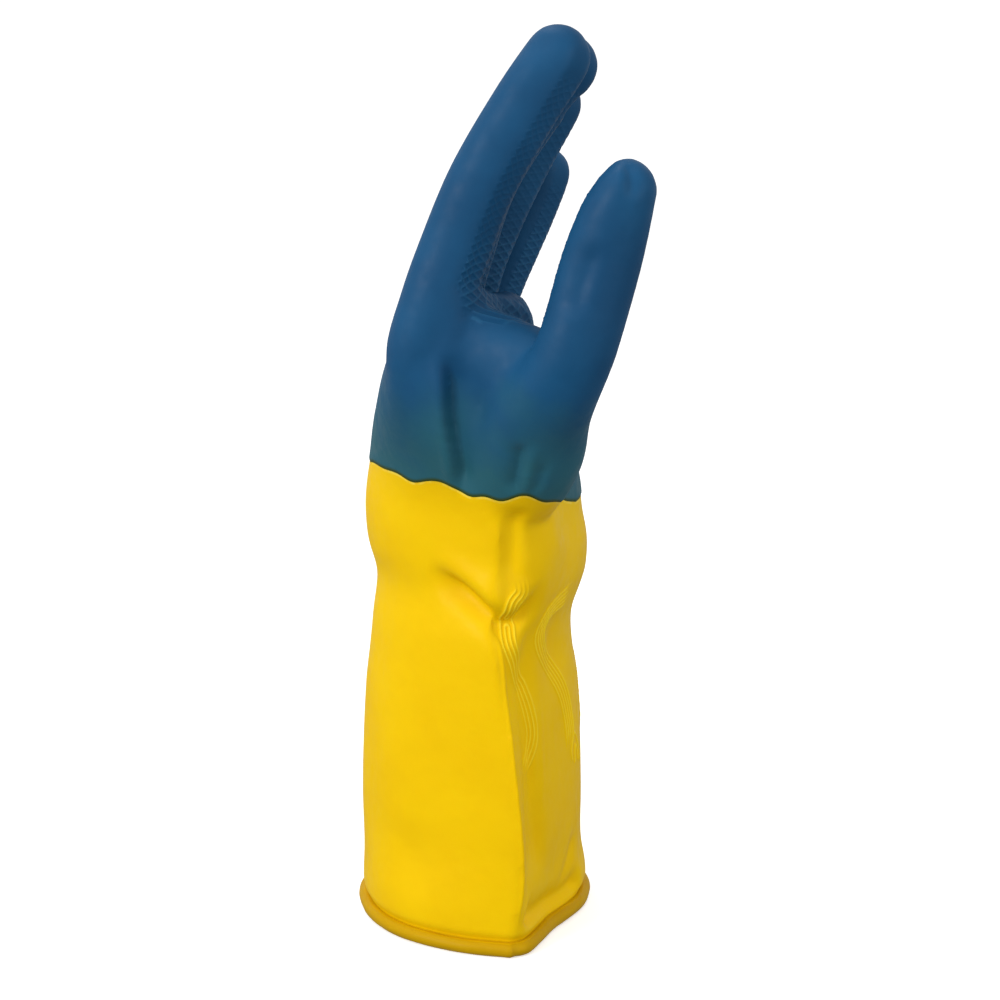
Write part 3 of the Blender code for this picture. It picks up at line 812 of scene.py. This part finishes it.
def grip_height(places, normals):
    """The raised diamond lattice on the palm side of the hand, the fingers and the thumb."""
    height = np.zeros(len(places))
    for digit in DIGITS:
        mask, along, across = grip_share(digit, places, normals)
        lattice = np.zeros(len(places))
        for slope in (GRIP_SLOPE, -GRIP_SLOPE):
            lane = (along * cos(slope) - across * sin(slope)) / GRIP_SPACING
            gap = np.abs(lane - np.round(lane)) * GRIP_SPACING
            lattice = np.maximum(lattice, np.exp(-((gap / GRIP_HALF_WIDTH) ** 2)))
        height = np.maximum(height, lattice * mask * GRIP_HEIGHT)
    return height


def raise_relief(mesh):
    """Raises the overdip's step, the grip and the embossed waves in the skin.

    Returns how high each point stands on a raised line, as a share of a usual line's height.
    """
    skin = skin_of(mesh)
    _, places, normals = skin
    rise = places[:, 2] - edge_height(places[:, 0], places[:, 1])
    push = OVERDIP_STEP * smoothstep(-0.3, EDGE_ROUND, rise)
    grip = grip_height(places, normals)
    lines = np.zeros(len(places))
    for wave in WAVES:
        lines = np.maximum(lines, waves(skin, *wave))
    push += grip + np.maximum(lines, waves(skin, *CREASE_RIDGE))
    set_places(mesh, places + normals * push[:, None])
    return np.maximum(grip / GRIP_HEIGHT, lines / WAVE_HEIGHT)


def refine(bm):
    """Divides the faces that carry the grip and the waves, so that they can hold fine relief."""
    mesh = bpy.data.meshes.new("coarse")
    bm.to_mesh(mesh)
    skin = skin_of(mesh)
    _, places, normals = skin
    fine = np.zeros(len(places), bool)
    for digit in DIGITS:
        fine |= grip_share(digit, places, normals)[0] > 0.02
    for route, count, spacing, *_ in [*WAVES, CREASE_RIDGE]:
        signed = signed_distance(skin, route)[0]
        fine |= np.abs(signed) < spacing * (count / 2 + 0.5) + 1
    bm.verts.ensure_lookup_table()
    faces = [f for f in bm.faces if all(fine[v.index] for v in f.verts)]
    edges = list({edge for face in faces for edge in face.edges})
    bmesh.ops.subdivide_edges(bm, edges=edges, cuts=2, use_grid_fill=True)
    bpy.data.meshes.remove(mesh)


# -------------------- materials


def new_material(name, roughness):
    material = bpy.data.materials.new(name)
    material.use_nodes = True
    shader = material.node_tree.nodes["Principled BSDF"]
    shader.inputs["Roughness"].default_value = roughness
    return material, material.node_tree, shader


def set_inputs(tree, node, inputs):
    for key, value in inputs.items():
        if isinstance(value, bpy.types.NodeSocket):
            tree.links.new(value, node.inputs[key])
        else:
            node.inputs[key].default_value = value


def add_node(tree, kind, inputs=None, **settings):
    node = tree.nodes.new(kind)
    for key, value in settings.items():
        setattr(node, key, value)
    set_inputs(tree, node, inputs or {})
    return node


def place_attribute(tree):
    """The place on the glove as moulded, in millimetres, which a bend doesn't change."""
    return add_node(tree, "ShaderNodeAttribute", attribute_name="place").outputs["Vector"]


def attribute_value(tree, name):
    return add_node(tree, "ShaderNodeAttribute", attribute_name=name).outputs["Fac"]


def noise_value(tree, scale, detail=3.0, roughness=0.5):
    inputs = {"Vector": place_attribute(tree), "Scale": scale, "Detail": detail}
    inputs["Roughness"] = roughness
    return add_node(tree, "ShaderNodeTexNoise", inputs).outputs["Fac"]


def spread(tree, value, low, high, to_low, to_high):
    """value from low..high to to_low..to_high."""
    inputs = {"From Min": low, "From Max": high, "To Min": to_low, "To Max": to_high}
    inputs["Value"] = value
    return add_node(tree, "ShaderNodeMapRange", inputs, clamp=True).outputs["Result"]


def blend_colour(tree, share, first, second):
    colours = [c if isinstance(c, bpy.types.NodeSocket) else (*c, 1) for c in (first, second)]
    inputs = {0: share, 6: colours[0], 7: colours[1]}
    return add_node(tree, "ShaderNodeMix", inputs, data_type="RGBA").outputs[2]


def bumps(tree, shader, layers):
    """Bump nodes in a row: (height value, strength, distance in millimetres)."""
    normal = None
    for height, strength, distance in layers:
        inputs = {"Height": height, "Strength": strength, "Distance": distance * MM}
        if normal is not None:
            inputs["Normal"] = normal
        normal = add_node(tree, "ShaderNodeBump", inputs).outputs["Normal"]
    tree.links.new(normal, shader.inputs["Normal"])


def painted_ridge_highlight(tree, colour, pale, most):
    """Raised lines are painted paler than the rubber between them, as a painted highlight."""
    share = spread(tree, attribute_value(tree, "raised"), 0.35, 0.9, 0, most)
    return blend_colour(tree, share, colour, pale)


def latex_material():
    material, tree, shader = new_material("yellow_latex", 0.42)
    mottle = spread(tree, noise_value(tree, 0.035, 4), 0.35, 0.65, 0, 1)
    colour = blend_colour(tree, mottle, LATEX_DEEP, LATEX_LIGHT)
    # painted highlight: a pale line painted just below the overdip's edge, stronger in some places
    # than others
    edge_highlight = spread(tree, attribute_value(tree, "edge"), -1.1, -0.5, 0, 1)
    uneven = spread(tree, noise_value(tree, 0.3, 2), 0.4, 0.6, 0.1, 0.55)
    edge_highlight = add_node(tree, "ShaderNodeMath", {0: edge_highlight, 1: uneven}, operation="MULTIPLY").outputs[0]
    colour = blend_colour(tree, edge_highlight, colour, LATEX_EDGE_HIGHLIGHT)
    # painted shade: the rolled cuff and the skin just above it are painted darker
    height = add_node(tree, "ShaderNodeSeparateXYZ", {"Vector": place_attribute(tree)}).outputs["Z"]
    colour = blend_colour(tree, spread(tree, height, 5.2, 6.2, 1, 0), colour, LATEX_CUFF_SHADE)
    specks = spread(tree, noise_value(tree, 0.9, 2), 0.72, 0.8, 0, 0.25)
    colour = blend_colour(tree, specks, colour, LATEX_SPECK)
    # the base colour carries a painted highlight on the raised lines
    inputs = {
        "Base Color": painted_ridge_highlight(tree, colour, LATEX_RIDGE_HIGHLIGHT, 0.85),
        "Roughness": spread(tree, noise_value(tree, 0.25, 4), 0.3, 0.7, 0.36, 0.52),
        "Specular IOR Level": 0.06,
        "Subsurface Weight": 0.08,
        "Subsurface Radius": (1.0, 0.6, 0.1),
        "Subsurface Scale": 1.5 * MM,
    }
    set_inputs(tree, shader, inputs)
    grain = noise_value(tree, 1.6, 4, 0.6)
    ripple = noise_value(tree, 0.12, 2)
    bumps(tree, shader, [(ripple, 0.35, 0.9), (grain, 0.12, 0.12)])
    return material


def overdip_material():
    material, tree, shader = new_material("blue_neoprene", 0.45)
    edge = attribute_value(tree, "edge")
    mottle = spread(tree, noise_value(tree, 0.03, 4), 0.35, 0.65, 0, 1)
    colour = blend_colour(tree, mottle, NEOPRENE_DEEP, NEOPRENE_LIGHT)
    shift = spread(tree, noise_value(tree, 0.05, 3), 0.3, 0.7, -7, 7)
    rise = add_node(tree, "ShaderNodeMath", {0: edge, 1: shift}, operation="ADD").outputs[0]
    thin = spread(tree, rise, 8, 42, 0.85, 0)
    colour = blend_colour(tree, thin, colour, NEOPRENE_THIN)
    colour = blend_colour(tree, spread(tree, edge, 0.5, 1.6, 1, 0), colour, NEOPRENE_EDGE)
    # the base colour carries a painted highlight on the raised lines
    inputs = {
        "Base Color": painted_ridge_highlight(tree, colour, NEOPRENE_RIDGE_HIGHLIGHT, 0.4),
        "Roughness": spread(tree, noise_value(tree, 0.2, 4), 0.3, 0.7, 0.46, 0.64),
        "Specular IOR Level": 0.15,
    }
    set_inputs(tree, shader, inputs)
    grain = noise_value(tree, 1.4, 4, 0.6)
    ripple = noise_value(tree, 0.1, 2)
    bumps(tree, shader, [(ripple, 0.3, 0.8), (grain, 0.15, 0.15)])
    return material


def flock_material():
    material, tree, shader = new_material("cotton_flock", 0.95)
    tufts = spread(tree, noise_value(tree, 1.2, 5, 0.7), 0.3, 0.7, 0, 1)
    colour = blend_colour(tree, tufts, FLOCK_DEEP, FLOCK_LIGHT)
    set_inputs(tree, shader, {"Base Color": colour, "Sheen Weight": 0.4})
    bumps(tree, shader, [(noise_value(tree, 2.5, 5, 0.8), 0.8, 0.4)])
    return material


LATEX_LIGHT = (0.88, 0.56, 0.001)
LATEX_DEEP = (0.85, 0.525, 0.001)
LATEX_SPECK = (0.8, 0.42, 0.002)
# painted shade: the rolled cuff is painted darker than the sleeve
LATEX_CUFF_SHADE = (0.54, 0.31, 0.001)  # the rolled cuff
# a painted highlight on the raised lines of the yellow latex
LATEX_RIDGE_HIGHLIGHT = (1.0, 0.74, 0.03)
# a painted highlight just below the overdip's edge
LATEX_EDGE_HIGHLIGHT = (1.0, 0.8, 0.12)
NEOPRENE_LIGHT = (0.007, 0.076, 0.182)
NEOPRENE_DEEP = (0.005, 0.058, 0.146)
NEOPRENE_THIN = (0.021, 0.112, 0.138)
# a painted highlight on the raised lines of the blue overdip
NEOPRENE_RIDGE_HIGHLIGHT = (0.022, 0.125, 0.25)
NEOPRENE_EDGE = (0.03, 0.06, 0.008)
FLOCK_LIGHT = (0.86, 0.78, 0.52)
FLOCK_DEEP = (0.7, 0.6, 0.35)


# -------------------- pieces


def add_attribute(mesh, name, values):
    """A number or a place at each of the mesh's points, for its material to read."""
    kind, key = ("FLOAT", "value") if values.ndim == 1 else ("FLOAT_VECTOR", "vector")
    attribute = mesh.attributes.new(name, kind, "POINT")
    attribute.data.foreach_set(key, values.astype(np.float32).ravel())


def piece_mesh(name, places, normals, polygons, material, raised=None):
    """A mesh of some of the skin's polygons, which keeps the whole skin's shading."""
    used = sorted({index for polygon in polygons for index in polygon})
    number = {index: k for k, index in enumerate(used)}
    mesh = bpy.data.meshes.new(name)
    co = (places[used] + np.array(SLEEVE_AXIS)) * MM
    mesh.from_pydata(co.tolist(), [], [[number[i] for i in polygon] for polygon in polygons])
    mesh.update()
    mesh.shade_smooth()
    add_attribute(mesh, "place", places[used])
    add_attribute(mesh, "edge", places[used, 2] - edge_height(places[used, 0], places[used, 1]))
    if raised is not None:
        add_attribute(mesh, "raised", raised[used])
    mesh.normals_split_custom_set_from_vertices(normals[used].tolist())
    mesh.materials.append(material)
    return mesh


def make_skin_pieces(materials):
    mesh = melted(VOXEL, SMOOTH_ROUNDS)
    shape_folds(mesh)
    bm = bmesh.new()
    bm.from_mesh(mesh)
    layer = divide(bm)
    refine(bm)
    bm.faces.ensure_lookup_table()
    labels = np.array([face[layer] for face in bm.faces])
    bm.to_mesh(mesh)
    bm.free()
    raised = raise_relief(mesh)
    places = places_of(mesh)
    normals = normals_of(mesh)
    polygons = [tuple(polygon.vertices) for polygon in mesh.polygons]
    pieces = {}
    for number, name in enumerate(PIECES):
        mine = [polygons[i] for i in np.flatnonzero(labels == number)]
        material = materials["yellow" if number < 3 else "blue"]
        mesh = piece_mesh(name, places, normals, mine, material, raised)
        pieces[name] = new_object(name, mesh)
    return pieces


def wrist_bend():
    """Where the wrist's bend starts and ends, just inside its piece."""
    heights = (WRIST_BEND_FROM + BEND_MARGIN, WRIST_BEND_TO - BEND_MARGIN)
    return [to_frame((0, 0, z)) for z in heights]


def attach(pieces):
    """Says what the gauntlet's and the hand's pieces ride on, and which CAD nodes each piece stands
    for.
    """
    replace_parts(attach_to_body(pieces["gauntlet_skin"], "gauntlet"), "gauntlet_latex")
    wrist = pieces["wrist_skin"]
    start, end = wrist_bend()
    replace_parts(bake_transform(wrist), "wrist_flex")
    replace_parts(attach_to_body(pieces["hand_skin"], "hand"), "hand_latex")
    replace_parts(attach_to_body(pieces["hand_overdip_skin"], "hand"), "hand_overdip")
    for digit, levels in DIGIT_LEVELS.items():
        for level, (start, end) in zip(levels, digit_bends(digit)):
            record = hinges[f"{digit}_{level}_bend"]
            piece = pieces[f"{digit}_{level}_skin"]
            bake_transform(piece)
            stretch = record["child"]
            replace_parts(piece, f"{stretch}_latex", f"{stretch}_overdip", f"{digit}_{level}_flex")


# -------------------- cuff and lining


BEAD_RADIUS = 2.75
BEAD_LOWEST = 0.02
BEAD_STEPS = 260
BEAD_SIDES = 20
BEAD_OUTSET = -0.9
BEAD_RING_HEIGHT = 2.0  # the sleeve's outline here is the bead's path
BEAD_WOBBLE = 0.22
WOBBLE_LENGTH = 9.0
WOBBLE_TURN = 30.0  # how much the wobble changes round the bead


def make_cuff_roll(material):
    """The rolled edge: a round bead that follows the cuff."""
    ring = np.array(sleeve_ring(BEAD_RING_HEIGHT))[:, :2]
    count = len(ring)
    bm = bmesh.new()
    rows = []
    for i in range(BEAD_STEPS):
        share = i * count / BEAD_STEPS
        low, part = int(share), share % 1
        here = ring[low] * (1 - part) + ring[(low + 1) % count] * part
        ahead = ring[(low + 3) % count] - ring[low - 2]
        out = Vector((ahead[1], -ahead[0])).normalized()
        row = []
        for k in range(BEAD_SIDES):
            angle = 2 * pi * k / BEAD_SIDES
            spot = Vector((*here, WOBBLE_TURN * cos(angle)))
            radius = BEAD_RADIUS + noise(spot / WOBBLE_LENGTH) * BEAD_WOBBLE
            x = here[0] + out.x * (radius * cos(angle) + BEAD_OUTSET)
            y = here[1] + out.y * (radius * cos(angle) + BEAD_OUTSET)
            z = max(BEAD_RADIUS + radius * sin(angle), BEAD_LOWEST)
            row.append(bm.verts.new((x, y, z)))
        rows.append(row)
    join_rings(bm, [*rows, rows[0]])
    bmesh.ops.recalc_face_normals(bm, faces=bm.faces[:])
    mesh = made_mesh(bm, "cuff_roll")
    places = np.array([vertex.co for vertex in mesh.vertices])
    add_attribute(mesh, "place", places)
    add_attribute(mesh, "edge", places[:, 2] - EDGE_HEIGHT)
    set_places(mesh, places)
    mesh.shade_smooth()
    mesh.materials.append(material)
    roll = new_object("cuff_roll", mesh)
    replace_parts(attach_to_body(roll, "gauntlet"), "cuff_bead")


def make_linings(material):
    """The flock inside: the skin again, coarser and moved inwards, as far as the fingers."""
    mesh = melted(LINING_VOXEL, SMOOTH_ROUNDS // 2)
    shape_folds(mesh)
    set_places(mesh, places_of(mesh) - normals_of(mesh) * LINING_DEPTH)
    bm = bmesh.new()
    bm.from_mesh(mesh)
    cut(bm, (0, 0, LINING_BOTTOM), (0, 0, 1), clear_inner=True)
    for z in (WRIST_BEND_FROM, WRIST_BEND_TO):
        cut(bm, (0, 0, z), (0, 0, 1))

    def in_thumb(face):
        place = centre_place(face)
        return place.y < THUMB_LINING_Y and place.x > THUMB_BACK_X

    ends = [(*digit_cuts("thumb")[0], in_thumb)]
    ends.append((Vector((0, 0, LINING_TOP)), Vector((0, 0, 1)), lambda f: not in_thumb(f)))
    for point, normal, near in ends:
        cut(bm, point, normal, near)
        gone = [f for f in bm.faces if near(f) and (centre_place(f) - point).dot(normal) > 0]
        bmesh.ops.delete(bm, geom=gone, context="FACES")
    bm.to_mesh(mesh)
    bm.free()
    places, normals = places_of(mesh), normals_of(mesh)
    polygons = [tuple(reversed(polygon.vertices)) for polygon in mesh.polygons]
    heights = np.array([places[list(polygon)][:, 2].mean() for polygon in polygons])
    levels = np.digitize(heights, (WRIST_BEND_FROM, WRIST_BEND_TO))
    pieces = []
    for level, name in enumerate(("gauntlet_lining", "wrist_lining", "hand_lining")):
        mine = [polygons[i] for i in np.flatnonzero(levels == level)]
        piece = new_object(name, piece_mesh(name, places, -normals, mine, material))
        pieces.append(piece)
    gauntlet, wrist, hand = pieces
    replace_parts(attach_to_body(gauntlet, "gauntlet"), "gauntlet_flock_lining")
    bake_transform(wrist)
    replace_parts(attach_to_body(hand, "hand"), "hand_flock_lining")


# -------------------- the studio


CAMERA_PLACE = (9.8, -760.0, 330.0)
CAMERA_PITCH_DEG = 12.249
CAMERA_LENS = 75.17
AIM = Vector((0, 0, 0.17))
FLOOR_RADIUS = 2.4
FLOOR_BEND = 1.0  # the radius of the bend from the floor up to the wall
WALL_TOP = 5.0
FLOOR_SIDES = 64
LAMPS = [  # name, place in metres, size in metres, watts
    ("key", (-1.0, -0.85, 0.62), 0.6, 10.6),
    ("fill", (0.9, -1.1, 0.45), 1.2, 5.8),
    ("top", (-0.3, 0.2, 1.3), 0.8, 4.0),
]


def make_studio():
    camera = new_object("camera", bpy.data.cameras.new("camera"))
    camera.location = to_frame(CAMERA_PLACE)
    camera.rotation_euler = (radians(90 - CAMERA_PITCH_DEG), 0, 0)
    camera.data.lens = CAMERA_LENS
    camera.data.clip_start = 0.05
    bpy.context.scene.camera = camera
    for name, place, size, watts in LAMPS:
        lamp = new_object(name, bpy.data.lights.new(name, "AREA"))
        lamp.data.size = size
        lamp.data.energy = watts
        lamp.location = place
        lamp.rotation_euler = (AIM - Vector(place)).to_track_quat("-Z", "Y").to_euler()
    world = bpy.data.worlds.new("studio")
    world.use_nodes = True
    tree = world.node_tree
    way = add_node(tree, "ShaderNodeTexCoord").outputs["Generated"]
    rise = add_node(tree, "ShaderNodeSeparateXYZ", {"Vector": way}).outputs["Z"]
    light = {"Color": (1, 1, 1, 1), "Strength": spread(tree, rise, -0.5, 0.4, 0.3, 0.76)}
    set_inputs(tree, tree.nodes["Background"], light)
    bpy.context.scene.world = world
    bpy.context.scene.view_settings.view_transform = "Standard"
    make_floor()


def make_floor():
    """A round floor that bends up into a wall, so that no horizon shows from any side."""
    profile = [(0.01, 0.0), (FLOOR_RADIUS, 0.0)]
    for degrees in range(10, 91, 10):
        out, up = sin(radians(degrees)), 1 - cos(radians(degrees))
        profile.append((FLOOR_RADIUS + FLOOR_BEND * out, FLOOR_BEND * up))
    profile.append((FLOOR_RADIUS + FLOOR_BEND, WALL_TOP))
    bm = bmesh.new()
    turns = [2 * pi * k / FLOOR_SIDES for k in range(FLOOR_SIDES)]
    rows = [[bm.verts.new((r * cos(t), r * sin(t), z)) for t in turns] for r, z in profile]
    join_rings(bm, rows)
    bm.faces.new(rows[0])
    bmesh.ops.recalc_face_normals(bm, faces=bm.faces[:])
    mesh = made_mesh(bm, "floor")
    mesh.shade_smooth()
    material, tree, shader = new_material("pale_floor", 0.8)
    shade = add_node(tree, "ShaderNodeTexNoise", {"Scale": 3.0}).outputs["Fac"]
    colour = blend_colour(tree, shade, (0.88, 0.88, 0.88), (0.92, 0.92, 0.92))
    glow = {"Emission Color": (1, 1, 1, 1), "Emission Strength": 0.5}
    set_inputs(tree, shader, {"Base Color": colour, **glow})
    mesh.materials.append(material)
    floor = new_object("floor", mesh)
    floor.visible_diffuse = False  # the glove is lit by the lamps and the world alone
    floor.visible_glossy = False


materials = {"yellow": latex_material(), "blue": overdip_material(), "flock": flock_material()}
attach(make_skin_pieces(materials))
make_cuff_roll(materials["yellow"])
make_linings(materials["flock"])
make_studio()
